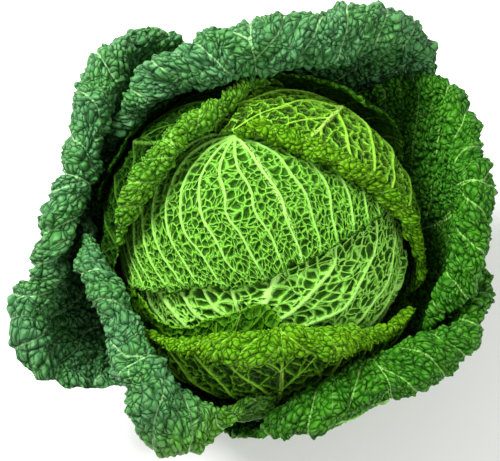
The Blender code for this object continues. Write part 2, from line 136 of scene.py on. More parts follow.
# %% The wrapper leaves
LEAVES["wrapper_leaf_thin"] = dict(
    midrib=250, offset=0.0077, reach=56, waves=0.0012, fan=None,
    crest=[
        (190, ON, 0.068, 0.012, 12), (198, ON, 0.088, 0.008, 20), (207, 0.086, ON, 0.005, 40),
        (227, 0.081, ON, 0.004, 55), (240, 0.070, ON, 0.004, 55), (254, 0.0575, ON, 0.004, 50),
        (265, 0.0525, ON, 0.004, 45), (275, 0.0600, ON, 0.0045, 40), (284, 0.0680, ON, 0.005, 35),
        (298, 0.078, ON, 0.006, 25), (307, ON, 0.096, 0.008, 20), (312, ON, 0.072, 0.012, 12),
    ])
LEAVES["wrapper_leaf_right"] = dict(
    midrib=56, offset=0.0104, reach=72, waves=0.0012, fan=None,
    crest=[
        (338, ON, 0.064, 0.012, 12), (343, ON, 0.083, 0.008, 35), (350, 0.092, 0.104, 0.0045, 150),
        (358, 0.083, 0.123, 0.0055, 215), (8, 0.071, ON, 0.0065, 222), (24, 0.055, ON, 0.007, 225),
        (50, 0.043, ON, 0.007, 228), (76, 0.043, ON, 0.0066, 228), (97, 0.048, ON, 0.006, 195),
        (111, 0.054, ON, 0.0045, 110), (123, 0.064, ON, 0.0045, 60), (132, 0.080, ON, 0.006, 40),
        (138, ON, 0.092, 0.010, 15), (141, ON, 0.066, 0.012, 12),
    ])
LEAVES["wrapper_leaf_bottom"] = dict(
    midrib=274, offset=0.0147, reach=58, waves=0.0012, fan=None,
    crest=[
        (210, ON, 0.064, 0.012, 12), (215, ON, 0.084, 0.006, 50), (222, 0.0925, ON, 0.004, 110),
        (231, 0.0875, ON, 0.0045, 180), (244, 0.079, ON, 0.008, 228), (260, 0.072, ON, 0.010, 232),
        (278, 0.069, ON, 0.010, 232), (297, 0.074, ON, 0.0092, 228), (311, 0.084, ON, 0.0065, 222),
        (321, 0.092, 0.110, 0.005, 210), (329, 0.0955, ON, 0.0045, 110), (335, ON, 0.078, 0.006, 50),
        (340, ON, 0.062, 0.012, 12),
    ])
LEAVES["wrapper_leaf_left"] = dict(
    midrib=144, offset=0.0161, reach=60, waves=0.0015, fan=None,
    crest=[
        (78, ON, 0.066, 0.012, 12), (84, ON, 0.090, 0.008, 25), (91, 0.0905, ON, 0.003, 100),
        (102, 0.078, ON, 0.006, 200), (118, 0.067, ON, 0.0075, 218), (142, 0.064, ON, 0.0078, 222),
        (164, 0.069, ON, 0.0078, 222), (180, 0.079, ON, 0.0065, 215), (188, 0.086, ON, 0.0034, 110),
        (194, 0.092, ON, 0.003, 80), (199, ON, 0.084, 0.008, 25), (203, ON, 0.064, 0.012, 12),
    ])
LEAVES["wrapper_leaf_shaded"] = dict(
    midrib=105, offset=0.0233, reach=66, waves=0.0018, fan=None,
    crest=[
        (30, ON, 0.062, 0.012, 12), (36, ON, 0.084, 0.006, 40), (45, 0.101, ON, 0.0035, 80),
        (60, 0.097, ON, 0.0035, 90), (82, 0.0995, ON, 0.0035, 80), (105, 0.103, ON, 0.0035, 70),
        (128, 0.102, ON, 0.0035, 70), (148, 0.1015, ON, 0.0035, 70), (163, 0.102, ON, 0.0035, 70),
        (172, ON, 0.084, 0.006, 40), (178, ON, 0.062, 0.012, 12),
    ])
print(len(LEAVES), "leaves so far")

# %% [markdown]
# The outer leaves stand open, so their crests have distances and heights of their own, away from any
# layer. Their rolls are the widest, as the rims of old leaves curl most.

# %% The outer leaves
LEAVES["outer_leaf_right"] = dict(
    midrib=8, offset=0.0290, reach=56, waves=0.0025, fan=None,
    crest=[
        (311, ON, 0.058, 0.012, 14), (321, ON, 0.078, 0.008, 35), (331, 0.108, 0.099, 0.0045, 120),
        (341, 0.109, 0.113, 0.008, 185), (353, 0.111, 0.124, 0.011, 200), (6, 0.112, 0.130, 0.0115, 205),
        (22, 0.117, 0.128, 0.0110, 205), (33, 0.128, 0.122, 0.0105, 200), (41, 0.136, 0.112, 0.008, 170),
        (50, 0.126, 0.096, 0.005, 90), (60, ON, 0.076, 0.008, 35), (68, ON, 0.058, 0.012, 14),
    ])
LEAVES["outer_leaf_lower_left"] = dict(
    midrib=220, offset=0.0290, reach=52, waves=0.0025, fan=None,
    crest=[
        (163, ON, 0.058, 0.012, 14), (170, ON, 0.078, 0.008, 40), (179, 0.105, 0.102, 0.005, 130),
        (192, 0.100, 0.117, 0.0095, 200), (209, 0.096, 0.121, 0.012, 212), (226, 0.098, 0.121, 0.0120, 218),
        (237, 0.104, 0.118, 0.0150, 220), (246, 0.108, 0.111, 0.0172, 212),
        (256, 0.109, 0.104, 0.0105, 150), (263, 0.102, 0.108, 0.005, 110), (270, 0.099, 0.111, 0.004, 100),
        (274, 0.104, 0.092, 0.005, 60), (276, ON, 0.076, 0.008, 40), (279, ON, 0.058, 0.012, 14),
    ])
LEAVES["outer_leaf_top"] = dict(
    midrib=92, offset=0.0370, reach=58, waves=0.0025, fan=None,
    crest=[
        (34, ON, 0.060, 0.012, 14), (41, 0.131, 0.080, 0.008, 40), (48, 0.145, 0.105, 0.0085, 105),
        (56, 0.133, 0.128, 0.013, 185), (68, 0.106, 0.138, 0.0172, 222), (84, 0.094, 0.140, 0.0168, 225),
        (100, 0.091, 0.140, 0.0172, 222), (116, 0.093, 0.137, 0.0148, 220),
        (130, 0.100, 0.128, 0.0105, 212), (140, 0.107, 0.112, 0.0065, 170), (148, 0.112, 0.090, 0.006, 80),
        (156, ON, 0.064, 0.012, 14),
    ])
LEAVES["outer_leaf_lower_right"] = dict(
    midrib=308, offset=0.0388, reach=50, waves=0.0025, fan=None,
    crest=[
        (256, ON, 0.058, 0.012, 14), (262, ON, 0.076, 0.008, 40), (270, 0.112, 0.096, 0.006, 140),
        (278, 0.105, 0.110, 0.0105, 200), (289, 0.101, 0.116, 0.0135, 212),
        (304, 0.101, 0.117, 0.0160, 215), (320, 0.109, 0.113, 0.0148, 215), (334, 0.122, 0.106, 0.010, 205),
        (344, 0.129, 0.094, 0.007, 160), (352, 0.126, 0.076, 0.008, 60), (360, ON, 0.058, 0.012, 14),
    ])
LEAVES["outer_leaf_left"] = dict(
    midrib=166, offset=0.0440, reach=58, waves=0.0025, fan=None,
    crest=[
        (105, ON, 0.060, 0.012, 14), (112, 0.128, 0.084, 0.009, 45), (120, 0.139, 0.106, 0.009, 140),
        (131, 0.130, 0.118, 0.0112, 205), (142, 0.118, 0.122, 0.0120, 215),
        (156, 0.112, 0.122, 0.0112, 215), (170, 0.1115, 0.120, 0.0102, 210),
        (182, 0.117, 0.114, 0.0112, 205), (193, 0.125, 0.106, 0.0115, 180),
        (203, 0.143, 0.092, 0.0145, 130), (212, 0.143, 0.075, 0.012, 70), (221, 0.126, 0.060, 0.012, 30),
        (228, ON, 0.050, 0.012, 14),
    ])
print(len(LEAVES), "leaves in all")

# %% [markdown]
# A leaf's layer is a ball that is flatter above and below. These small functions measure it, and draw
# the smooth line of the leaf's crest through its points. The line is a cubic curve, as in a curve
# object, but its points also carry the roll, which a curve object has no place for.

# %% The layers of the head and the crest of a leaf
CENTRE = np.array([0, 0, HEAD_HEIGHT])
KNOT_SPACING = 0.75  # power of the points' distances, which keeps the curve from overshooting
RISE_WAVES = 0.7
ROLL_WAVES = 0.12


def unit(vectors):
    """The vectors at length 1."""
    return vectors / np.maximum(np.linalg.norm(vectors, axis=-1, keepdims=True), 1e-12)


def layer_radius(way, offset):
    """Distance from the head's centre to the layer of that offset, along unit vectors."""
    flatten = np.where(way[..., 2] > 0, FLATTEN_TOP, FLATTEN_BOTTOM)
    shape = np.sqrt(way[..., 0] ** 2 + way[..., 1] ** 2 + (way[..., 2] / flatten) ** 2)
    return (HEAD_RADIUS + offset) / shape


def curve_through(rows, where):
    """A smooth curve through the rows, at places 0 to 1 along it."""
    steps = np.linalg.norm(np.diff(rows[:, :3], axis=0), axis=1) ** KNOT_SPACING
    knots = np.concatenate([[0], np.cumsum(steps)]) / steps.sum()
    slopes = np.gradient(rows, knots, axis=0)
    i = np.clip(np.searchsorted(knots, where, side="right") - 1, 0, len(rows) - 2)
    span = (knots[i + 1] - knots[i])[:, None]
    u = (where - knots[i])[:, None] / span
    return (
        (2 * u**3 - 3 * u**2 + 1) * rows[i]
        + (u**3 - 2 * u**2 + u) * span * slopes[i]
        + (3 * u**2 - 2 * u**3) * rows[i + 1]
        + (u**3 - u**2) * span * slopes[i + 1]
    )


def waves(s, seed, count=4):
    """A gentle random wave along the crest, about 1 high, the same each run."""
    random = np.random.default_rng(seed)
    total = np.zeros_like(s)
    for k in range(count):
        height = random.uniform(0.5, 1) / np.sqrt(k + 1)
        pitch = (k + 1.3) * random.uniform(1.2, 1.8)
        total += height * np.sin(np.pi * pitch * s + random.uniform(0, 2 * np.pi))
    return total / 1.6


def crest_of(leaf, seed, s):
    """The crest at places s from -1 to 1: its way from the head's centre, its height over the leaf's layer,
    and its roll's radius and angle in radians."""
    ball = HEAD_RADIUS + leaf["offset"]
    rows = []
    for azimuth, r, z, roll, turn in leaf["crest"]:
        height = HEAD_HEIGHT + FLATTEN_TOP * np.sqrt(ball**2 - r**2) if z is ON else z
        reach = np.sqrt(ball**2 - ((z - HEAD_HEIGHT) / FLATTEN_BOTTOM) ** 2) if r is ON else r
        angle = np.radians(azimuth)
        point = np.array([reach * np.cos(angle), reach * np.sin(angle), height - HEAD_HEIGHT])
        distance = np.linalg.norm(point)
        way = point / distance
        rows.append([*way, distance - layer_radius(way, leaf["offset"]), roll, turn])
    crest = curve_through(np.array(rows), (s + 1) / 2)
    way = crest[:, :3]
    way[:, 2] += leaf["waves"] / HEAD_RADIUS * waves(s, seed)
    rise = crest[:, 3] + RISE_WAVES * leaf["waves"] * waves(s, seed + 50)
    roll = crest[:, 4] * (1 + ROLL_WAVES * waves(s, seed + 99, 5))
    return unit(way), rise, roll, np.radians(crest[:, 5])


top = HEAD_HEIGHT + layer_radius(np.array([0, 0, 1.0]), 0.0)
print("top of the head, in mm:", round(1000 * top))

# %% [markdown]
# A leaf's sheet is made of lines that run from the stalk over the crest to the rim's edge. Up to the
# crest a line bends round the head's belly, and from there it is an arc, the roll. Each line is drawn
# with many points, and `sheet_at` then reads it at any distance along its length.

# %% The sheet of a leaf
WALL_POINTS = 121
RIM_POINTS = 61
JUST_BEFORE = 0.97  # share of the way to the crest at which a line's direction there is taken


def leaf_lines(leaf, seed, s):
    """Points along the leaf's lines, one line for each s, and each line's length at those points."""
    crest_way, rise, rolls, turns = crest_of(leaf, seed, s)
    azimuth = np.radians(leaf["midrib"] + CLASP * s)
    radius = STALK_RADIUS + ROOT_GAP
    height = -FLATTEN_BOTTOM * np.sqrt((HEAD_RADIUS + LOW_OFFSET * leaf["offset"]) ** 2 - radius**2)
    root_way = unit(np.stack([radius * np.cos(azimuth), radius * np.sin(azimuth), height + 0 * s], -1))
    crest_angle = np.degrees(np.arccos(crest_way[:, 2]))
    down = np.radians(BELLY_ANGLE + BELLY_DROP * np.clip(crest_angle - STEEP_ANGLE, 0, None))
    round_way = np.radians(leaf["midrib"] + leaf["reach"] * s)
    belly_way = np.stack(
        [np.cos(round_way) * np.sin(down), np.sin(round_way) * np.sin(down), np.cos(down)], -1
    )

    def wall(q):
        """Points at shares q of the way from stalk to crest, for each line."""
        share = q[None, :, None]
        way = unit(
            (1 - share) ** 2 * root_way[:, None]
            + 2 * share * (1 - share) * BELLY_PULL * belly_way[:, None]
            + share**2 * crest_way[:, None]
        )
        risen = np.clip((way[..., 2] + 1) / RISEN_BY, 0, 1)
        offset = leaf["offset"] * (LOW_OFFSET + (1 - LOW_OFFSET) * risen)
        flare = np.clip((q - FLARE_FROM) / (1 - FLARE_FROM), 0, 1) ** 2
        return CENTRE + way * (layer_radius(way, offset) + rise[:, None] * flare[None])[..., None]

    walls = wall(np.linspace(0, 1, WALL_POINTS))
    end = walls[:, -1]
    before = wall(np.array([JUST_BEFORE]))[:, 0]
    along = unit(np.gradient(end, axis=0))
    outwards = np.cross(along, unit(end - before))
    outwards *= np.sign(np.sum(outwards * (end - CENTRE), axis=1))[:, None]
    outwards += STRAIGHT_OUT * crest_way
    outwards = unit(outwards - along * np.sum(outwards * along, axis=1)[:, None])
    onwards = np.cross(outwards, along)
    onwards *= np.sign(np.sum(onwards * (end - before)))
    angle = turns[:, None, None] * np.linspace(0, 1, RIM_POINTS)[1:][None, :, None]
    rims = end[:, None] + rolls[:, None, None] * (
        np.sin(angle) * onwards[:, None] + (1 - np.cos(angle)) * outwards[:, None]
    )
    lines = np.concatenate([walls, rims], axis=1)
    steps = np.linalg.norm(np.diff(lines, axis=1), axis=2)
    return lines, np.insert(np.cumsum(steps, axis=1), 0, 0, axis=1)


def sheet_at(lines, lengths, wanted):
    """The points at the wanted lengths: an array of a row for each line."""
    sheet = np.empty((*wanted.shape, 3))
    for i, (line, length) in enumerate(zip(lines, lengths)):
        for axis in range(3):
            sheet[i, :, axis] = np.interp(wanted[i], length, line[:, axis])
    return sheet


def sheet_normals(sheet):
    """Unit normals of the sheet, out of its upper face."""
    return unit(np.cross(np.gradient(sheet, axis=1), np.gradient(sheet, axis=0)))


top_lengths = leaf_lines(LEAVES["outer_leaf_top"], 10, np.linspace(-1, 1, 5))[1]
print("lengths of five of the top leaf's lines, in mm:", (1000 * top_lengths[:, -1]).round())

# %% [markdown]
# Veins and blisters follow the flat leaf and not the room that it is in, so each point needs its place
# on the leaf as if it were pressed flat. Since the leaf fans out from its stalk, that place is read in
# polar form: the length of its line, and the angle that the line takes up at its widest.
#
# The side veins are the whole numbers of a field, `phase`: where the field passes a whole number, a vein
# runs. On most leaves they leave the midrib left and right by turns, slanting towards the tip. On the
# two head leaves only the fan at the end of the midrib shows, so there they spread from one point.
# `pitch` is how far apart two veins are, so that a material can turn the field into a true distance.

# %% The leaf pressed flat, and its veins
APEX = 0.022  # from the point where the lines would meet, to the stalk
WIDEST = 0.75  # share of a line's length at which the lines' angles are read
FAN_BEND = 0.065  # distance from the fan's point over which its veins turn along the midrib
FAN_START = 0.004
FAN_WOBBLE = 0.09
VEIN_WOBBLE = 0.0022
VEIN_SLANT = 1.05  # how far a side vein rises for each step away from the midrib
VEIN_CURVE = 0.08
CURVED_OVER = 0.055
OUT_OF_REACH = 10
HALF_VEIN_FROM = 0.015  # distance between two veins at which a thinner one starts between them
HALF_VEIN_FULL = 0.030


def ripple(x, y, length, seed, count=9):
    """A smooth random field about 1 high, whose hills are about that length apart."""
    random = np.random.default_rng(seed)
    total = np.zeros_like(x)
    for _ in range(count):
        angle, phase = random.uniform(0, 2 * np.pi, 2)
        k = 2 * np.pi / (length * random.uniform(0.7, 1.5))
        total += np.sin(k * (x * np.cos(angle) + y * np.sin(angle)) + phase)
    return total / np.sqrt(count)


def pressed_flat(sheet, distance):
    """Places x and y of the sheet's points on the flat leaf, whose midrib is the line x = 0."""
    row = int(WIDEST * sheet.shape[1])
    width = np.linalg.norm(np.diff(sheet[:, row], axis=0), axis=1)
    angle = np.insert(np.cumsum(width / (APEX + distance[:-1, row])), 0, 0)
    angle -= np.interp(0.5 * (len(angle) - 1), np.arange(len(angle)), angle)
    reach = APEX + distance
    return reach * np.sin(angle)[:, None], reach * np.cos(angle)[:, None]


def side_veins(x, y, step, seed):
    """Phase of the side veins, which leave the midrib left and right by turns."""
    side = np.where(x < 0, 0.5, 0.0)
    bend = VEIN_SLANT * np.abs(x) ** (1 - VEIN_CURVE) * CURVED_OVER**VEIN_CURVE
    return (y - bend + VEIN_WOBBLE * ripple(x, y, 0.035, seed)) / step + side


def fan_veins(x, y, sheet, fan, seed):
    """Phase of the veins that spread from one point, and the distance from the fan's middle vein."""
    ends = []
    for place in fan[:2]:
        away = np.hypot(sheet[..., 0] - place[0], sheet[..., 1] - place[1])
        away += OUT_OF_REACH * (sheet[..., 2] < HEAD_HEIGHT)
        ends.append(np.unravel_index(np.argmin(away), away.shape))
    (x0, y0), (x1, y1) = [(x[e], y[e]) for e in ends]
    heading = np.arctan2(x1 - x0, y1 - y0)
    dx, dy = x - x0, y - y0
    reach = np.hypot(dx, dy) + FAN_START
    angle = np.arctan2(dx, dy) - heading
    angle = (angle + np.pi) % (2 * np.pi) - np.pi
    phase = angle * (1 + reach / FAN_BEND) / np.radians(fan[2]) + FAN_WOBBLE * ripple(x, y, 0.028, seed)
    return phase, np.sin(np.clip(angle, -1.5, 1.5)) * reach


def gradient_on_sheet(field, sheet):
    """How fast a field changes along the sheet, per metre."""
    total = 0
    for axis in (0, 1):
        step = np.linalg.norm(np.gradient(sheet, axis=axis), axis=2)
        total = total + (np.gradient(field, axis=axis) / np.maximum(step, 1e-6)) ** 2
    return np.sqrt(total)


fans = [leaf["fan"][2] for leaf in LEAVES.values() if leaf["fan"]]
print("fan veins every", fans, "degrees at their point")

# %% [markdown]
# The net itself is a Voronoi pattern: the lines that are as far from one random point as from the next
# make cells much like the patches between a leaf's veins. Blender has it as a node, both for shapes and
# for materials. One function adds the same nodes to either kind of tree, so the colours fall exactly
# where the blisters and the ridges are. There are two sizes of cell, and a little noise bends their
# edges.

# %% The net of veins, as nodes
SMALL_CELL = 0.0046
LARGE_CELL = 0.0105
NET_WOBBLE = 0.0022
WOBBLE_SIZE = 1.6 * SMALL_CELL
BUBBLE = 0.68  # distance from a small cell's point, in cells, at which its round bubble would end


def link(tree, source, target):
    """Joins two sockets, or gives the second one a plain value."""
    if isinstance(source, bpy.types.NodeSocket):
        tree.links.new(source, target)
    else:
        target.default_value = source


def add(tree, kind, *values, **settings):
    """A new node with those settings, and those values or links for its first inputs."""
    node = tree.nodes.new(kind)
    for name, setting in settings.items():
        setattr(node, name, setting)
    for value, socket in zip(values, node.inputs):
        link(tree, value, socket)
    return node


def calculate(tree, operation, *values, clamp=False):
    """A Math node's result."""
    return add(tree, "ShaderNodeMath", *values, operation=operation, use_clamp=clamp).outputs[0]


def noise(tree, place, size, detail=2.0, flat=True):
    """The outputs of a noise texture with spots of that size."""
    node = add(tree, "ShaderNodeTexNoise", place, noise_dimensions="2D" if flat else "3D")
    node.inputs["Scale"].default_value = 1 / size
    node.inputs["Detail"].default_value = detail
    return node.outputs


def voronoi(tree, place, feature, cell):
    """The outputs of a flat Voronoi texture with cells of that size."""
    node = add(tree, "ShaderNodeTexVoronoi", place, voronoi_dimensions="2D", feature=feature)
    node.inputs["Scale"].default_value = 1 / cell
    return node.outputs


def leaf_net(tree, place):
    """Distances to the edges of the small and the large cells and to the small cell's own point, in cells,
    and a random colour for each small cell."""
    wobble = noise(tree, place, WOBBLE_SIZE)["Color"]
    strength = (2 * NET_WOBBLE, 2 * NET_WOBBLE, 0)
    bent = add(tree, "ShaderNodeVectorMath", wobble, strength, place, operation="MULTIPLY_ADD").outputs[0]
    small = voronoi(tree, bent, "DISTANCE_TO_EDGE", SMALL_CELL)["Distance"]
    large = voronoi(tree, bent, "DISTANCE_TO_EDGE", LARGE_CELL)["Distance"]
    cells = voronoi(tree, bent, "F1", SMALL_CELL)
    return small, large, cells["Distance"], cells["Color"]


def net_modifier():
    """Geometry nodes that store the net on a mesh, from its attribute flat_place."""
    tree = bpy.data.node_groups.new("leaf net", "GeometryNodeTree")
    for side in ("INPUT", "OUTPUT"):
        tree.interface.new_socket("Geometry", in_out=side, socket_type="NodeSocketGeometry")
    place = add(tree, "GeometryNodeInputNamedAttribute", "flat_place", data_type="FLOAT_VECTOR")
    net = leaf_net(tree, place.outputs["Attribute"])
    geometry = tree.nodes.new("NodeGroupInput").outputs[0]
    for name, value in zip(("small", "large", "near", "tone"), net):
        kind = "FLOAT_VECTOR" if name == "tone" else "FLOAT"
        keeper = add(tree, "GeometryNodeStoreNamedAttribute", geometry, data_type=kind, domain="POINT")
        keeper.inputs["Name"].default_value = name
        link(tree, value, keeper.inputs["Value"])
        geometry = keeper.outputs["Geometry"]
    add(tree, "NodeGroupOutput", geometry)
    return tree


NET = net_modifier()
print("cells of", 1000 * SMALL_CELL, "and", 1000 * LARGE_CELL, "mm")

# %% [markdown]
# The leaves differ in how fine and how strong their relief is, so each kind has its own sizes, in
# metres:
#
# - `step` is the spacing of the mesh, `faces` the most triangles, and `blade` the leaf's thickness.
# - `cell` is the size of the net's small cells. `blister` and `dimple` are the heights of the large and
#   the small swellings, and `ridge` is that of the raised net. The small cells' lines have the share
#   `fine` of it.
# - `crinkle` is the slow unevenness of the rim, `ragged` how deep its edge is nibbled, and `lift` how
#   far the edge stands off the leaf below.
# - `upper_from` and `under_from` are the shares of the way to the crest from which each face has its
#   relief. Nearer the stalk hardly anything of it can be seen, and the triangles are saved for where it
#   shows.
# - `midrib` and `rib_width` are the height and the width of the midrib, and `vein_step` is the distance
#   between the side veins along it.

# %% Kinds of leaf
KINDS = {
    "upper head": dict(
        step=0.00070, faces=95000, blade=0.0010, cell=0.0041, blister=0.0008, dimple=0.0014, ridge=0.0011,
        fine=0.80, crinkle=0.0004, ragged=0.0042, lift=0.0020, upper_from=0.97, under_from=0.30,
        midrib=0.0018, rib_width=0.0046, vein_step=0.024),
    "lower head": dict(
        step=0.00070, faces=95000, blade=0.0010, cell=0.0049, blister=0.0007, dimple=0.0016, ridge=0.0012,
        fine=0.80, crinkle=0.0004, ragged=0.0040, lift=0.0012, upper_from=0.97, under_from=0.30,
        midrib=0.0016, rib_width=0.0040, vein_step=0.024),
    "thin": dict(
        step=0.00085, faces=26000, blade=0.0009, cell=0.0040, blister=0.0006, dimple=0.0007, ridge=0.0006,
        fine=0.5, crinkle=0.0010, ragged=0.0020, lift=0.0, upper_from=0.93, under_from=0.40,
        midrib=0.0008, rib_width=0.0026, vein_step=0.024),
    "wrapper": dict(
        step=0.00070, faces=76000, blade=0.0009, cell=0.0035, blister=0.0014, dimple=0.0014, ridge=0.0011,
        fine=0.4, crinkle=0.0010, ragged=0.0022, lift=0.0, upper_from=0.90, under_from=0.30,
        midrib=0.0018, rib_width=0.0028, vein_step=0.026),
    "outer": dict(
        step=0.00080, faces=95000, blade=0.0010, cell=0.0043, blister=0.0019, dimple=0.0016, ridge=0.0008,
        fine=0.6, crinkle=0.0019, ragged=0.0022, lift=0.0, upper_from=0.50, under_from=0.25,
        midrib=0.0042, rib_width=0.0042, vein_step=0.036),
}
KINDS["fine outer"] = dict(KINDS["outer"], cell=0.0037, blister=0.0017, dimple=0.0014)
print("leaf kinds:", ", ".join(KINDS))

# %% [markdown]
# Two functions shape most of the relief: `ridge` for what stands up along a line, and `dome` for what
# swells over a cell. The other helpers apply modifiers, and carry fields between NumPy and the mesh's
# attributes. NumPy moves all of a leaf's points at once, and there are tens of thousands of them.

# %% Helpers for meshes
def smooth(x, low, high):
    """0 below low, 1 above high, and an even change between them."""
    u = np.clip((x - low) / (high - low), 0, 1)
    return u * u * (3 - 2 * u)


def ridge(distance, width):
    """A rounded ridge, 1 high at distance 0."""
    return np.exp(-((distance / width) ** 2))


def dome(distance, radius):
    """A round dome over a cell: 0 at its edge, 1 from that distance inwards."""
    u = np.clip(distance / radius, 0, 1)
    return np.sqrt(u * (2 - u))


def activate(piece):
    """Makes the piece the only selected one."""
    bpy.ops.object.select_all(action="DESELECT")
    piece.select_set(True)
    bpy.context.view_layer.objects.active = piece


def apply_all(piece):
    """Applies the piece's modifiers."""
    activate(piece)
    for modifier in list(piece.modifiers):
        bpy.ops.object.modifier_apply(modifier=modifier.name)


def store(piece, name, *fields):
    """Stores fields of the sheet as one vector attribute of the mesh."""
    values = np.zeros((fields[0].size, 3), np.float32)
    for axis, field in enumerate(fields):
        values[:, axis] = field.ravel()
    attribute = piece.data.attributes.new(name, "FLOAT_VECTOR", "POINT")
    attribute.data.foreach_set("vector", values.ravel())


def read(piece, name, shape, width=1):
    """Reads an attribute back as a field of the sheet."""
    values = np.empty(len(piece.data.vertices) * width, np.float32)
    piece.data.attributes[name].data.foreach_get("value" if width == 1 else "vector", values)
    return values.reshape(shape) if width == 1 else values.reshape(*shape, width)


print("a dome is", dome(0.5, 1.0).round(2), "high half way in from its edge")

# %% [markdown]
# Now a leaf can be built, in four steps. The first is the sheet as a grid of points, with columns along
# the crest and rows from the stalk to the rim's edge. The rows lie closer together near the crest,
# because the stalk's end hardly shows. Each line is cut a little short by its own amount, so the leaf
# has the uneven, nibbled edge of a real one.

# %% The sheet as a grid
WALL_ROW_LENGTH = 1.25  # mean length of a wall row, in steps
ROW_CHANGE = 0.4  # a row is longer by this share of the mean at the stalk, and shorter by it at the crest
NIBBLES = 0.016  # from one bite out of the edge to the next
SMALL_NIBBLES = 0.006
ROUGH_LINES = 61  # enough to measure a leaf by


def leaf_grid(leaf, seed, kind):
    """The grid's points, their distances along their lines, each line's length up to its crest, and each
    line's place along the crest."""
    lines, lengths = leaf_lines(leaf, seed, np.linspace(-1, 1, ROUGH_LINES))
    crest_length = np.linalg.norm(np.diff(lines[:, WALL_POINTS - 1], axis=0), axis=1).sum()
    wall_length = np.median(lengths[:, WALL_POINTS - 1])
    rim_length = (lengths[:, -1] - lengths[:, WALL_POINTS - 1]).max()
    columns = int(crest_length / kind["step"])
    wall_rows = int(wall_length / kind["step"] / WALL_ROW_LENGTH)
    rim_rows = max(int(rim_length / kind["step"]), 3)

    s = np.linspace(-1, 1, columns)
    lines, lengths = leaf_lines(leaf, seed, s)
    wall_end = lengths[:, WALL_POINTS - 1 : WALL_POINTS]
    u = np.arange(wall_rows) / wall_rows
    wall_share = u * (1 + ROW_CHANGE - ROW_CHANGE * u)
    rim_share = np.arange(rim_rows + 1) / rim_rows
    rim = wall_end + (lengths[:, -1:] - wall_end) * rim_share
    distance = np.hstack([wall_end * wall_share, rim])
    along_crest = s * crest_length / 2
    nibble = np.abs(ripple(along_crest, 0 * s, NIBBLES, seed + 7)) ** 1.5
    nibble += 0.35 * np.abs(ripple(along_crest, 0 * s, SMALL_NIBBLES, seed + 8))
    near_edge = smooth(distance / distance[:, -1:], 0.75, 1.0)
    distance = distance - 0.6 * kind["ragged"] * nibble[:, None] * near_edge
    return sheet_at(lines, lengths, distance), distance, wall_end, along_crest


print("a line of", WALL_POINTS + RIM_POINTS - 1, "points becomes one column of the grid")

# %% [markdown]
# The second step lays the net on the grid. Each point's place on the flat leaf goes through the net's
# nodes, and what they store is read back. The place is stretched a little, so that the cells differ in
# size. Its third part is the distance to the leaf's edge, which the finishes read.

# %% The net on a leaf
NET_STRETCH = 0.0011
STRETCH_LENGTH = 0.022
NEXT_LEAF = 0.7  # from one leaf's part of the endless net to the next leaf's
FEWEST_VEINS = 20  # per metre, where their field hardly changes


def grid_piece(name, columns, rows):
    """A grid of that many columns and rows of points."""
    bpy.ops.object.select_all(action="DESELECT")
    bpy.ops.mesh.primitive_grid_add(x_subdivisions=rows - 1, y_subdivisions=columns - 1, size=2)
    piece = bpy.context.object
    piece.name = name
    piece.data.name = name
    return piece


def net_of(piece, x, y, distance, seed, kind):
    """Distances to the edges of the small and the large cells in metres, the distance to the small cell's
    point in cells, and the cell's random tone."""
    fit = SMALL_CELL / kind["cell"]
    net_x = fit * (x + NET_STRETCH * ripple(x, y, STRETCH_LENGTH, seed + 5)) + NEXT_LEAF * seed
    net_y = fit * (y + NET_STRETCH * ripple(x, y, STRETCH_LENGTH, seed + 6))
    store(piece, "flat_place", net_x, net_y, distance[:, -1:] - distance)
    piece.modifiers.new("Net", "NODES").node_group = NET
    apply_all(piece)
    small = read(piece, "small", x.shape) * SMALL_CELL / fit
    large = read(piece, "large", x.shape) * LARGE_CELL / fit
    near = read(piece, "near", x.shape)
    tone = read(piece, "tone", x.shape, 3)[..., 0]
    for name in ("small", "large", "near", "tone"):
        piece.data.attributes.remove(piece.data.attributes[name])
    return small, large, near, tone


def veins_of(x, y, sheet, leaf, seed, kind):
    """Phase of the leaf's veins, the distance between two of them, and that across the middle one."""
    if leaf["fan"]:
        phase, across = fan_veins(x, y, sheet, leaf["fan"], seed)
    else:
        phase = side_veins(x, y, kind["vein_step"], seed)
        across = x + 0.0015 * ripple(x, y, 0.08, seed + 3)
    return phase, 1 / np.maximum(gradient_on_sheet(phase, sheet), FEWEST_VEINS), across


print("the net wanders by up to", 1000 * NET_STRETCH, "mm")

# %% [markdown]
# The third step works out the heights of the two faces over the sheet. The upper face has large
# swellings with small round bubbles on them. The underside has pockets in the same places, and raised
# lines between them. The larger veins hold both faces down, and the blade gets thinner towards its edge.
# A displacement texture could do part of this, but here the heights of two faces depend on each other,
# so they are worked out together.

# %% The relief of a leaf
SWELLING_EDGE = 0.0046  # over which a large swelling rises from its edge
POCKET_EDGE = 0.0003
MAIN_GROOVE = 0.0016  # half the width of the groove over a side vein
HALF_VEIN = 0.0011
NET_LINE = 0.0010
WIDE_LINE = 0.0012
VEIN_AT_TIP = 0.0011
VEIN_GROWTH = 0.0016  # by which a side vein is wider at the stalk
LEAST_BLADE = 0.0004


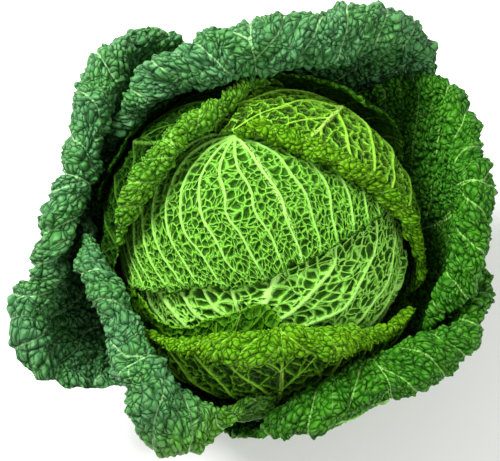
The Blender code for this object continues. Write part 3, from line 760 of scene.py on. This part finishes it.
def relief_of(net, share, tip, phase, pitch, rib, lumps, kind):
    """Heights of the upper face and of the underside over the sheet, and of the raised net."""
    small, large, near, tone = net
    main = np.abs(phase - np.round(phase)) * pitch
    half = np.abs(phase + 0.5 - np.round(phase + 0.5)) * pitch
    half_shown = smooth(pitch, HALF_VEIN_FROM, HALF_VEIN_FULL)

    grown = 0.45 + 0.55 * smooth(share, 0.15, 0.7)
    swelling = kind["blister"] * dome(large, SWELLING_EDGE) * (0.75 + 0.5 * tone)
    bubble = 0.5 * np.clip(1 - (near / BUBBLE) ** 2, 0, 1) + 0.5 * dome(small, 0.30 * kind["cell"])
    above = swelling + kind["dimple"] * bubble * (0.5 + tone) * lumps
    below = swelling + kind["dimple"] * smooth(small, POCKET_EDGE, 0.42 * kind["cell"]) * (0.7 + 0.6 * tone)
    sunk = np.minimum(1 - 0.9 * ridge(main, MAIN_GROOVE), 1 - 0.6 * half_shown * ridge(half, HALF_VEIN))
    sunk = np.minimum(sunk, 1 - rib)
    middle = 0.75 * (kind["blister"] + kind["dimple"])

    raised = np.maximum(kind["fine"] * ridge(small, NET_LINE), 0.9 * ridge(large, WIDE_LINE))
    raised = np.maximum(raised, (1.1 + tip) * ridge(main, VEIN_AT_TIP + VEIN_GROWTH * tip))
    raised = np.maximum(raised, half_shown * ridge(half, HALF_VEIN))
    return grown * (above * sunk - middle), grown * (below * sunk - middle), kind["ridge"] * grown * raised


def moves_of(above, below, raised, share, tip, rib, crinkle, unevenness, kind):
    """How far the upper face and the underside are moved along the sheet's normals."""
    shown_above = smooth(share, kind["upper_from"] - 0.08, kind["upper_from"])
    shown_below = smooth(share, kind["under_from"], kind["under_from"] + 0.15)
    shown_below = shown_below * (1 - smooth(share, 1.15, 1.35))
    slow = kind["crinkle"] * crinkle * smooth(share, 0.6, 1.1)
    lifted = kind["lift"] * unevenness[:, None] * smooth(share, 0.93, 1.03)
    blade = kind["blade"] * (1 - 0.5 * smooth(share, 0.9, 1.05))
    midrib = kind["midrib"] * (0.25 + 0.75 * tip) * rib
    upper = slow + above * shown_above - lifted
    under = slow + (below - raised) * shown_below - blade - midrib - lifted
    return upper, np.minimum(under, upper - LEAST_BLADE)


print("the underside stays at least", 1000 * LEAST_BLADE, "mm below the upper face")

# %% [markdown]
# The last step makes a leaf of the grid. A Solidify modifier gives it a second face, and the points of
# both go where the heights put them. A Decimate modifier then takes triangles away where the leaf is
# smooth, and leaves them where it has relief. It works in millimetres here, because its sums lose their
# precision on very small faces.

# %% Building a leaf
RIB_AT_TIP = 0.35  # width of the midrib at the tip, as a share of its full width
LUMP_SIZE = 0.0060  # of the patches in which the bubbles are higher or lower
CRINKLE_LENGTH = 0.026
LIFT_LENGTH = 0.03


def two_faces(piece, upper, under, kind):
    """Gives the grid its second face, with a finish of its own, and puts both faces in their places."""
    second_face = piece.modifiers.new("Second face", "SOLIDIFY")
    second_face.thickness = kind["blade"]
    second_face.offset = -1
    second_face.material_offset = 1
    second_face.material_offset_rim = 1
    piece.data.materials.append(None)
    piece.data.materials.append(None)
    apply_all(piece)
    both = np.concatenate([upper.reshape(-1, 3), under.reshape(-1, 3)])
    assert len(both) == len(piece.data.vertices)
    piece.data.vertices.foreach_set("co", (1000 * both).ravel().astype(np.float32))
    piece.data.update()
    faces = 2 * len(piece.data.polygons)
    if faces > kind["faces"]:
        piece.modifiers.new("Fewer faces", "DECIMATE").ratio = kind["faces"] / faces
        apply_all(piece)
    activate(piece)
    bpy.ops.transform.resize(value=(0.001, 0.001, 0.001))
    bpy.ops.object.transform_apply(location=True, rotation=True, scale=True)
    bpy.ops.object.shade_smooth()


def build_leaf(name, leaf, seed, kind, node):
    """A fine leaf with a blistered upper face and a netted underside."""
    sheet, distance, wall_end, along_crest = leaf_grid(leaf, seed, kind)
    x, y = pressed_flat(sheet, distance)
    piece = grid_piece(name, *x.shape)
    net = net_of(piece, x, y, distance, seed, kind)
    phase, pitch, across = veins_of(x, y, sheet, leaf, seed, kind)
    share = distance / wall_end
    tip = np.clip(1 - share, 0, 1)
    rib_width = kind["rib_width"] * (RIB_AT_TIP + (1 - RIB_AT_TIP) * tip**0.7)
    rib = ridge(across, rib_width)
    lumps = 1 + 0.15 * ripple(x, y, LUMP_SIZE, seed + 4)
    crinkle = ripple(x, y, CRINKLE_LENGTH, seed + 1)
    unevenness = 1 + 0.6 * ripple(along_crest, 0 * along_crest, LIFT_LENGTH, seed + 9)
    heights = relief_of(net, share, tip, phase, pitch, rib, lumps, kind)
    upper_move, under_move = moves_of(*heights, share, tip, rib, crinkle, unevenness, kind)

    piece.data.vertices.foreach_set("co", sheet.ravel().astype(np.float32))
    store(piece, "veins", phase, pitch, across)
    store(piece, "place", share, tip, rib_width)
    piece.data.update()
    normals = sheet_normals(sheet)
    two_faces(piece, sheet + upper_move[..., None] * normals, sheet + under_move[..., None] * normals, kind)
    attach(piece, "root")
    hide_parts(node)
    return piece


print("a leaf is a sheet, a net, its veins and two faces")

# %% [markdown]
# Each leaf has two finishes, one for each face. Both read the same net and veins as the shape does, so a
# vein's colour lies on its own ridge or groove. On the upper face the creases between the bubbles get
# painted shade, and a painted highlight makes the bubbles' tops a little paler; the larger veins show as
# thin pale lines. On the underside the pockets are dark, partly with the leaf's own green and partly with
# painted shade, and the whole net shows, palest on the thickest veins. The colours could be painted on
# each leaf, but nodes need no image and stay sharp from near by. These are the parts of a pair of
# finishes:
#
# - `high` and `other` are two tones of the blade. `low` is the painted shade in its creases, and also the
#   tone towards which each small cell is darkened by a random amount.
# - `pocket`, `net`, `vein` and `base` are the colours of the pockets, the net, the side veins and the
#   midrib. The pockets' colour is darker than the leaf's own green between the veins, with painted shade
#   in it.
# - `fine_net` is how strongly the small cells' lines show, and `open_net` says that the pockets are
#   those of the large cells. `shine` is the strength of the reflections, which are weak because the wax
#   is dull.
# - `edge` is the tone of a free edge, and `turned` that of a leaf's side that has turned pale. On the
#   head finish the edge is a dark band: partly the thin margin's darker green, partly painted shade where
#   the margin's shadow falls.

# %% Colours of the leaves
FINISHES = {
    "head": dict(
        low=(0.016, 0.075, 0.002), high=(0.080, 0.285, 0.010), other=(0.100, 0.320, 0.014),
        vein=(0.260, 0.600, 0.090), net=(0.160, 0.450, 0.038), base=(0.290, 0.640, 0.105),
        pocket=(0.015, 0.076, 0.002), fine_net=0.75, open_net=False, shine=0.12,
        # The edge tone here is a dark band along the free margin: partly the margin's darker green, partly
        # painted shade.
        edge=(0.026, 0.120, 0.003)),
    # This finish is the head's colours painted lighter: partly the lower head leaf's own paler net, partly
    # painted light for the weak lamp light on it.
    "open head painted lighter": dict(
        low=(0.016, 0.075, 0.002), high=(0.095, 0.340, 0.014), other=(0.120, 0.380, 0.018),
        vein=(0.380, 0.780, 0.150), net=(0.280, 0.680, 0.085), base=(0.400, 0.800, 0.170),
        pocket=(0.012, 0.066, 0.001), fine_net=0.85, open_net=False, shine=0.12,
        edge=(0.280, 0.680, 0.085)),
    "yellow": dict(
        low=(0.011, 0.050, 0.001), high=(0.084, 0.275, 0.001), other=(0.115, 0.315, 0.001),
        vein=(0.260, 0.580, 0.040), net=(0.180, 0.460, 0.030), base=(0.360, 0.650, 0.090),
        pocket=(0.002, 0.013, 0.001), fine_net=0.30, open_net=True, shine=0.10),
    "spring": dict(
        low=(0.007, 0.034, 0.001), high=(0.072, 0.265, 0.007), other=(0.094, 0.295, 0.009),
        vein=(0.260, 0.580, 0.080), net=(0.120, 0.340, 0.030), base=(0.300, 0.580, 0.120),
        pocket=(0.003, 0.018, 0.001), fine_net=0.30, open_net=True, shine=0.12),
    "green": dict(
        low=(0.004, 0.032, 0.001), high=(0.024, 0.158, 0.003), other=(0.038, 0.200, 0.004),
        vein=(0.280, 0.600, 0.120), net=(0.100, 0.300, 0.030), base=(0.300, 0.560, 0.140),
        pocket=(0.004, 0.028, 0.001), fine_net=0.50, open_net=True, shine=0.10),
    "blue": dict(
        low=(0.004, 0.032, 0.005), high=(0.057, 0.211, 0.066), other=(0.051, 0.216, 0.042),
        vein=(0.320, 0.640, 0.240), net=(0.110, 0.300, 0.060), base=(0.300, 0.560, 0.180),
        pocket=(0.004, 0.026, 0.003), fine_net=0.50, open_net=True, shine=0.20),
    # This finish is painted shade where it darkens leaves in shadow: the shaded wrapper leaf and the bottom
    # wrapper's underside.
    "dark": dict(
        low=(0.004, 0.032, 0.001), high=(0.030, 0.140, 0.002), other=(0.045, 0.180, 0.003),
        vein=(0.210, 0.500, 0.030), net=(0.120, 0.330, 0.014), base=(0.300, 0.560, 0.060),
        pocket=(0.001, 0.009, 0.001), fine_net=0.22, open_net=True, shine=0.10),
    "moss": dict(
        low=(0.005, 0.036, 0.001), high=(0.034, 0.155, 0.001), other=(0.052, 0.195, 0.002),
        vein=(0.080, 0.260, 0.006), net=(0.070, 0.240, 0.005), base=(0.200, 0.420, 0.060),
        pocket=(0.021, 0.105, 0.001), fine_net=0.35, open_net=True, shine=0.10,
        edge=(0.110, 0.340, 0.008)),
    # This finish is painted shade: nearly black colours for the undersides that lie in the deep gaps
    # between the leaves.
    "shade": dict(
        low=(0.002, 0.012, 0.001), high=(0.008, 0.038, 0.001), other=(0.012, 0.055, 0.001),
        vein=(0.034, 0.115, 0.008), net=(0.019, 0.075, 0.004), base=(0.070, 0.180, 0.020),
        pocket=(0.001, 0.006, 0.001), fine_net=0.50, open_net=True, shine=0.02),
}
FINISHES["turning blue"] = dict(FINISHES["blue"], turns_at=(0.030, 0.065), turned=(0.085, 0.290, 0.008))
print(len(FINISHES), "pairs of leaf finishes")

# %% [markdown]
# A few helpers make the nodes of these finishes. `fade` is the one that draws most of them: it turns a
# distance into a soft line, and a noise into patches.

# %% Helpers for materials
ROUGHNESS = 0.48
SHINE = 0.12  # of what isn't a leaf


def parts(tree, vector):
    """The three parts of a vector."""
    return add(tree, "ShaderNodeSeparateXYZ", vector).outputs


def read_attribute(tree, name):
    """A vector attribute of the mesh."""
    return add(tree, "ShaderNodeAttribute", attribute_name=name).outputs["Vector"]


def fade(tree, value, start, end, low=1.0, high=0.0):
    """A smooth change from low at start to high at end."""
    limits = (start, end, low, high)
    return add(tree, "ShaderNodeMapRange", value, *limits, interpolation_type="SMOOTHSTEP").outputs[0]


def mixed(tree, factor, first, second):
    """A mix of two colours."""
    node = add(tree, "ShaderNodeMix", factor, data_type="RGBA")
    for socket, colour in ((node.inputs[6], first), (node.inputs[7], second)):
        link(tree, (*colour, 1) if isinstance(colour, tuple) else colour, socket)
    return node.outputs[2]


def times(tree, first, second):
    """The product of two values."""
    return calculate(tree, "MULTIPLY", first, second)


def new_material(name, shine=SHINE):
    """A material, its tree and its shader."""
    material = bpy.data.materials.new(name)
    material.use_nodes = True
    shader = material.node_tree.nodes["Principled BSDF"]
    shader.inputs["Roughness"].default_value = ROUGHNESS
    shader.inputs["Specular IOR Level"].default_value = shine
    return material, material.node_tree, shader


def add_bump(tree, shader, height, depth):
    """A bump of that depth."""
    node = tree.nodes.new("ShaderNodeBump")
    node.inputs["Distance"].default_value = depth
    link(tree, height, node.inputs["Height"])
    link(tree, node.outputs[0], shader.inputs["Normal"])


def domed(tree, value, radius):
    """A round dome over each cell, as the shape has: 0 at its edge, 1 from that far inwards."""
    u = calculate(tree, "DIVIDE", value, radius, clamp=True)
    return calculate(tree, "SQRT", times(tree, u, calculate(tree, "SUBTRACT", 2.0, u)))


print("roughness", ROUGHNESS)

# %% [markdown]
# Both faces start in the same way. They read the net and the veins, and lay the two tones of the blade
# in patches, with each small cell a little darker or paler than the next.

# %% What both finishes read, and the blade
TONE_PATCH = 0.030


def leaf_fields(tree):
    """What both finishes read from a leaf: its net, its veins, and places on it."""
    place = read_attribute(tree, "flat_place")
    small, large, near, tone = leaf_net(tree, place)
    phase, pitch, across = parts(tree, read_attribute(tree, "veins"))
    tip, rib_width = parts(tree, read_attribute(tree, "place"))[1:]
    half_way = calculate(tree, "ADD", phase, 0.5)
    return SimpleNamespace(
        place=place, small=small, large=large, near=near, tone=parts(tree, tone)[0],
        across=across, tip=tip,
        main=times(tree, calculate(tree, "PINGPONG", phase, 0.5), pitch),
        half=times(tree, calculate(tree, "PINGPONG", half_way, 0.5), pitch),
        half_shown=fade(tree, pitch, HALF_VEIN_FROM, HALF_VEIN_FULL, 0.0, 1.0),
        rib=calculate(tree, "DIVIDE", calculate(tree, "ABSOLUTE", across), rib_width))


def blade_of(tree, at, colours):
    """The colour of the blade, and the mask of the side that has turned pale, or None."""
    patches = fade(tree, noise(tree, at.place, TONE_PATCH)["Fac"], 0.35, 0.65, 0.0, 1.0)
    blade = mixed(tree, patches, colours["high"], colours["other"])
    blade = mixed(tree, times(tree, at.tone, 0.18), blade, colours["low"])
    if "turns_at" not in colours:
        return blade, None
    turned = fade(tree, at.across, *colours["turns_at"], 0.0, 0.9)
    return mixed(tree, turned, blade, colours["turned"]), turned


print("tones of the blade in patches of", 1000 * TONE_PATCH, "mm")

# %% [markdown]
# On the upper face a painted highlight first makes the bubbles' tops a little paler. The creases come
# next as painted shade, broken up so that they don't look drawn, and then the veins and the midrib. The
# same masks give the face its bump, which carries the relief on below the size of the mesh's own
# triangles.

# %% The finish of an upper face
CREASE_BREAK = 0.006  # size of the patches in which a crease fades
LUMP = 0.0024
UPPER_BUMP = 0.0014


def upper_face(tree, at, colours):
    """Colour and bump height of a blistered upper face."""
    blade, _ = blade_of(tree, at, colours)
    # Painted shade: the creases of the small and the large cells are darkened towards the low colour,
    # broken up in patches.
    broken = fade(tree, noise(tree, at.place, CREASE_BREAK)["Fac"], 0.35, 0.60, 0.45, 1.0)
    crease_shade = fade(tree, at.small, 0.0, 0.14, 0.85, 0.0)
    crease_shade = calculate(tree, "MAXIMUM", crease_shade, fade(tree, at.large, 0.0, 0.09, 1.0, 0.0))
    # Painted highlight: the bubbles' tops, near each small cell's point, are made a little paler towards
    # the vein colour.
    blade = mixed(tree, fade(tree, at.near, 0.05, 0.45, 0.14, 0.0), blade, colours["vein"])
    blade = mixed(tree, times(tree, crease_shade, broken), blade, colours["low"])
    half_line = times(tree, fade(tree, at.half, 0.0, 0.0002), at.half_shown)
    lines = calculate(tree, "MAXIMUM", fade(tree, at.main, 0.0002, 0.0009), half_line)
    blade = mixed(tree, times(tree, lines, 0.7), blade, colours["vein"])
    blade = mixed(tree, fade(tree, at.rib, 0.12, 0.40, 0.8, 0.0), blade, colours["vein"])

    u = calculate(tree, "DIVIDE", at.near, BUBBLE)
    bubble = calculate(tree, "SUBTRACT", 1.0, times(tree, u, u), clamp=True)
    height = times(tree, domed(tree, at.small, 0.35), 0.5)
    height = calculate(tree, "MULTIPLY_ADD", bubble, 0.6, height)
    height = calculate(tree, "MULTIPLY_ADD", domed(tree, at.large, 0.40), 0.6, height)
    return blade, calculate(tree, "MULTIPLY_ADD", noise(tree, at.place, LUMP)["Fac"], 0.3, height)


print("bump of an upper face, in mm:", 1000 * UPPER_BUMP)

# %% [markdown]
# On the underside the pockets come first, dark partly with the leaf's own green and partly with painted
# shade. The lines of the small cells, of the large cells and of the veins lie over them, each kind paler
# and wider than the one before. Where a finish has an `edge`, the veins fade towards the leaf's free
# margin, and the margin has its own tone; on the head finish that tone is partly painted shade.

# %% The finish of an underside
UNDER_BUMP = 0.0012


def underside(tree, at, colours):
    """Colour and bump height of a netted underside."""
    blade, turned = blade_of(tree, at, colours)
    if colours["open_net"]:
        in_cell = fade(tree, at.large, 0.05, 0.20, 0.0, 1.0)
    else:
        in_cell = fade(tree, at.small, 0.08, 0.30, 0.0, 1.0)
    fine_line = times(tree, fade(tree, at.small, 0.05, 0.17), colours["fine_net"])
    wide_line = fade(tree, at.large, 0.03, 0.10)
    # The pockets' colour: partly the leaf's own green between the veins, partly painted shade in the
    # hollows.
    blade = mixed(tree, times(tree, in_cell, 0.9), blade, colours["pocket"])
    blade = mixed(tree, fine_line, blade, colours["net"])
    blade = mixed(tree, times(tree, wide_line, 0.9), blade, colours["net"])
    if turned is not None:
        blade = mixed(tree, times(tree, turned, 0.7), blade, colours["turned"])

    vein_width = calculate(tree, "MULTIPLY_ADD", at.tip, VEIN_GROWTH, 0.0010)
    main_line = fade(tree, calculate(tree, "DIVIDE", at.main, vein_width), 0.45, 1.10)
    half_line = times(tree, fade(tree, at.half, 0.0003, 0.0009), at.half_shown)
    lines = calculate(tree, "MAXIMUM", main_line, half_line)
    if "edge" in colours:
        from_edge = parts(tree, at.place)[2]
        lines = times(tree, lines, fade(tree, from_edge, 0.001, 0.012, 0.25, 1.0))
    blade = mixed(tree, times(tree, lines, 0.85), blade, colours["vein"])
    blade = mixed(tree, fade(tree, at.rib, 0.35, 0.95), blade, colours["base"])
    blade = mixed(tree, fade(tree, at.tip, 0.65, 1.0, 0.0, 0.75), blade, colours["base"])
    # A free edge gets its own tone. On the head finish it is a dark band, partly the margin's darker green
    # and partly painted shade.
    if "edge" in colours:
        blade = mixed(tree, fade(tree, from_edge, 0.0006, 0.0030, 0.75, 0.0), blade, colours["edge"])

    height = calculate(tree, "MAXIMUM", times(tree, fine_line, 0.7), wide_line)
    height = calculate(tree, "MAXIMUM", height, lines)
    pit = times(tree, in_cell, calculate(tree, "SUBTRACT", 1.0, lines))
    return blade, calculate(tree, "SUBTRACT", height, pit)


print("bump of an underside, in mm:", 1000 * UNDER_BUMP)

# %% [markdown]
# Now the pairs of finishes are made of these parts, with a fine grain over all. One function makes them
# all, because only their colours and their faces differ.

# %% All the leaf finishes
GRAIN = 0.0011


def leaf_finish(name, colours, face, bump):
    """A finish for one face of a leaf."""
    material, tree, shader = new_material(name, colours["shine"])
    at = leaf_fields(tree)
    blade, height = face(tree, at, colours)
    link(tree, blade, shader.inputs["Base Color"])
    grain = noise(tree, at.place, GRAIN, 3.0)["Fac"]
    add_bump(tree, shader, calculate(tree, "MULTIPLY_ADD", grain, 0.25, height), bump)
    return material


upper_finishes = {}
under_finishes = {}
for key, colours in FINISHES.items():
    upper_finishes[key] = leaf_finish(f"{key} leaf, upper face", colours, upper_face, UPPER_BUMP)
    under_finishes[key] = leaf_finish(f"{key} leaf, underside", colours, underside, UNDER_BUMP)
print(len(bpy.data.materials), "materials so far")

# %% [markdown]
# Now the leaves themselves, from the heart outwards. Each one says what kind of leaf it is, which
# finishes its upper face and its underside have, and which material slot they stand for.

# %% The leaves
LOOKS = {
    # The lower head leaf's underside has the head's colours painted lighter, partly as painted light.
    "head_leaf_lower": ("lower head", "head", "open head painted lighter", "head_leaf"),
    "head_leaf_upper": ("upper head", "head", "head", "head_leaf"),
    "wrapper_leaf_thin": ("thin", "dark", "moss", "wrapper_leaf"),
    "wrapper_leaf_right": ("wrapper", "yellow", "yellow", "wrapper_leaf"),
    # The bottom wrapper's underside has the dark finish: painted shade under its roll.
    "wrapper_leaf_bottom": ("wrapper", "yellow", "dark", "wrapper_leaf"),
    # The left wrapper's underside has the shade finish: painted shade on its wall in the dark gap beside
    # it.
    "wrapper_leaf_left": ("wrapper", "spring", "shade", "wrapper_leaf"),
    # The shaded wrapper leaf has the dark finish above and the shade finish below: painted shade in the gap
    # it fills.
    "wrapper_leaf_shaded": ("thin", "dark", "shade", "outer_leaf"),
    "outer_leaf_right": ("fine outer", "green", "green", "outer_leaf"),
    "outer_leaf_lower_left": ("outer", "turning blue", "turning blue", "outer_leaf"),
    "outer_leaf_top": ("outer", "blue", "blue", "outer_leaf"),
    "outer_leaf_lower_right": ("fine outer", "green", "green", "outer_leaf"),
    "outer_leaf_left": ("outer", "blue", "blue", "outer_leaf"),
}
total = 0
for number, (leaf_name, leaf) in enumerate(LEAVES.items()):
    kind, upper_finish, under_finish, slot = LOOKS[leaf_name]
    piece = build_leaf(leaf_name + "_fine", leaf, number + 1, KINDS[kind], leaf_name)
    piece.data.materials[0] = upper_finishes[upper_finish]
    piece.data.materials[1] = under_finishes[under_finish]
    piece.data.calc_loop_triangles()
    triangles = len(piece.data.loop_triangles)
    total += triangles
    print(piece.name, triangles, "triangles")
print(total, "triangles in all the leaves")

# %% [markdown]
# The stalk and the heart keep the construction model's shape. Little of them shows, so they only get a
# finish: the cut stalk has fine pale fibres, and the heart is mottled like packed young leaves.

# %% Stalk and heart
FIBRE = 0.0016
MOTTLE = 0.004


def mottled_finish(name, size, detail, dark, pale, bump):
    """A finish of two colours in spots of that size."""
    material, tree, shader = new_material(name)
    coordinates = tree.nodes.new("ShaderNodeTexCoord").outputs["Object"]
    spots = noise(tree, coordinates, size, detail, flat=False)["Fac"]
    colour = mixed(tree, fade(tree, spots, 0.3, 0.7, 0.0, 1.0), dark, pale)
    link(tree, colour, shader.inputs["Base Color"])
    add_bump(tree, shader, spots, bump)
    return material


stalk_finish = mottled_finish("cut stalk", FIBRE, 4.0, (0.52, 0.60, 0.30), (0.74, 0.76, 0.52), 0.0006)
heart_finish = mottled_finish("heart leaves", MOTTLE, 3.0, (0.06, 0.20, 0.010), (0.26, 0.50, 0.07), 0.0010)
for node, material in (("stalk", stalk_finish), ("heart", heart_finish)):
    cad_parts[node].data.materials.clear()
    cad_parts[node].data.materials.append(material)
print("stalk and heart finished")

# %% [markdown]
# The cabbage stands on a plain pale floor. One large soft lamp on the left is low enough to give each
# bubble a lit and a shaded side. A weak one opposite and a pale sky keep the shadows open.

# %% Floor and light
KEY_POWER = 38
FILL_POWER = 10
SKY = (1.0, 1.0, 0.97, 1)
SKY_STRENGTH = 0.52

bpy.ops.object.select_all(action="DESELECT")
bpy.ops.mesh.primitive_plane_add(size=8, location=(0, 0, 0))
floor = bpy.context.object
floor.name = "floor"
floor_finish, tree, shader = new_material("pale floor")
shader.inputs["Base Color"].default_value = (0.90, 0.90, 0.90, 1)
shader.inputs["Roughness"].default_value = 0.9
floor.data.materials.append(floor_finish)


def area_light(name, place, size, power):
    """A square lamp that looks at the cabbage."""
    lamp = bpy.data.objects.new(name, bpy.data.lights.new(name, "AREA"))
    lamp.data.size = size
    lamp.data.energy = power
    lamp.location = place
    away = unit(np.array(place) - CENTRE)
    lamp.rotation_euler = (np.arccos(away[2]), 0, np.arctan2(away[1], away[0]) + np.pi / 2)
    bpy.context.scene.collection.objects.link(lamp)


area_light("key", (-0.68, 0.62, 1.08), 0.60, KEY_POWER)
area_light("fill", (0.9, -0.5, 0.9), 1.0, FILL_POWER)
world = bpy.data.worlds.new("studio")
world.use_nodes = True
world.node_tree.nodes["Background"].inputs["Color"].default_value = SKY
world.node_tree.nodes["Background"].inputs["Strength"].default_value = SKY_STRENGTH
bpy.context.scene.world = world
bpy.context.scene.view_settings.view_transform = "Standard"
print("two lamps and a sky")
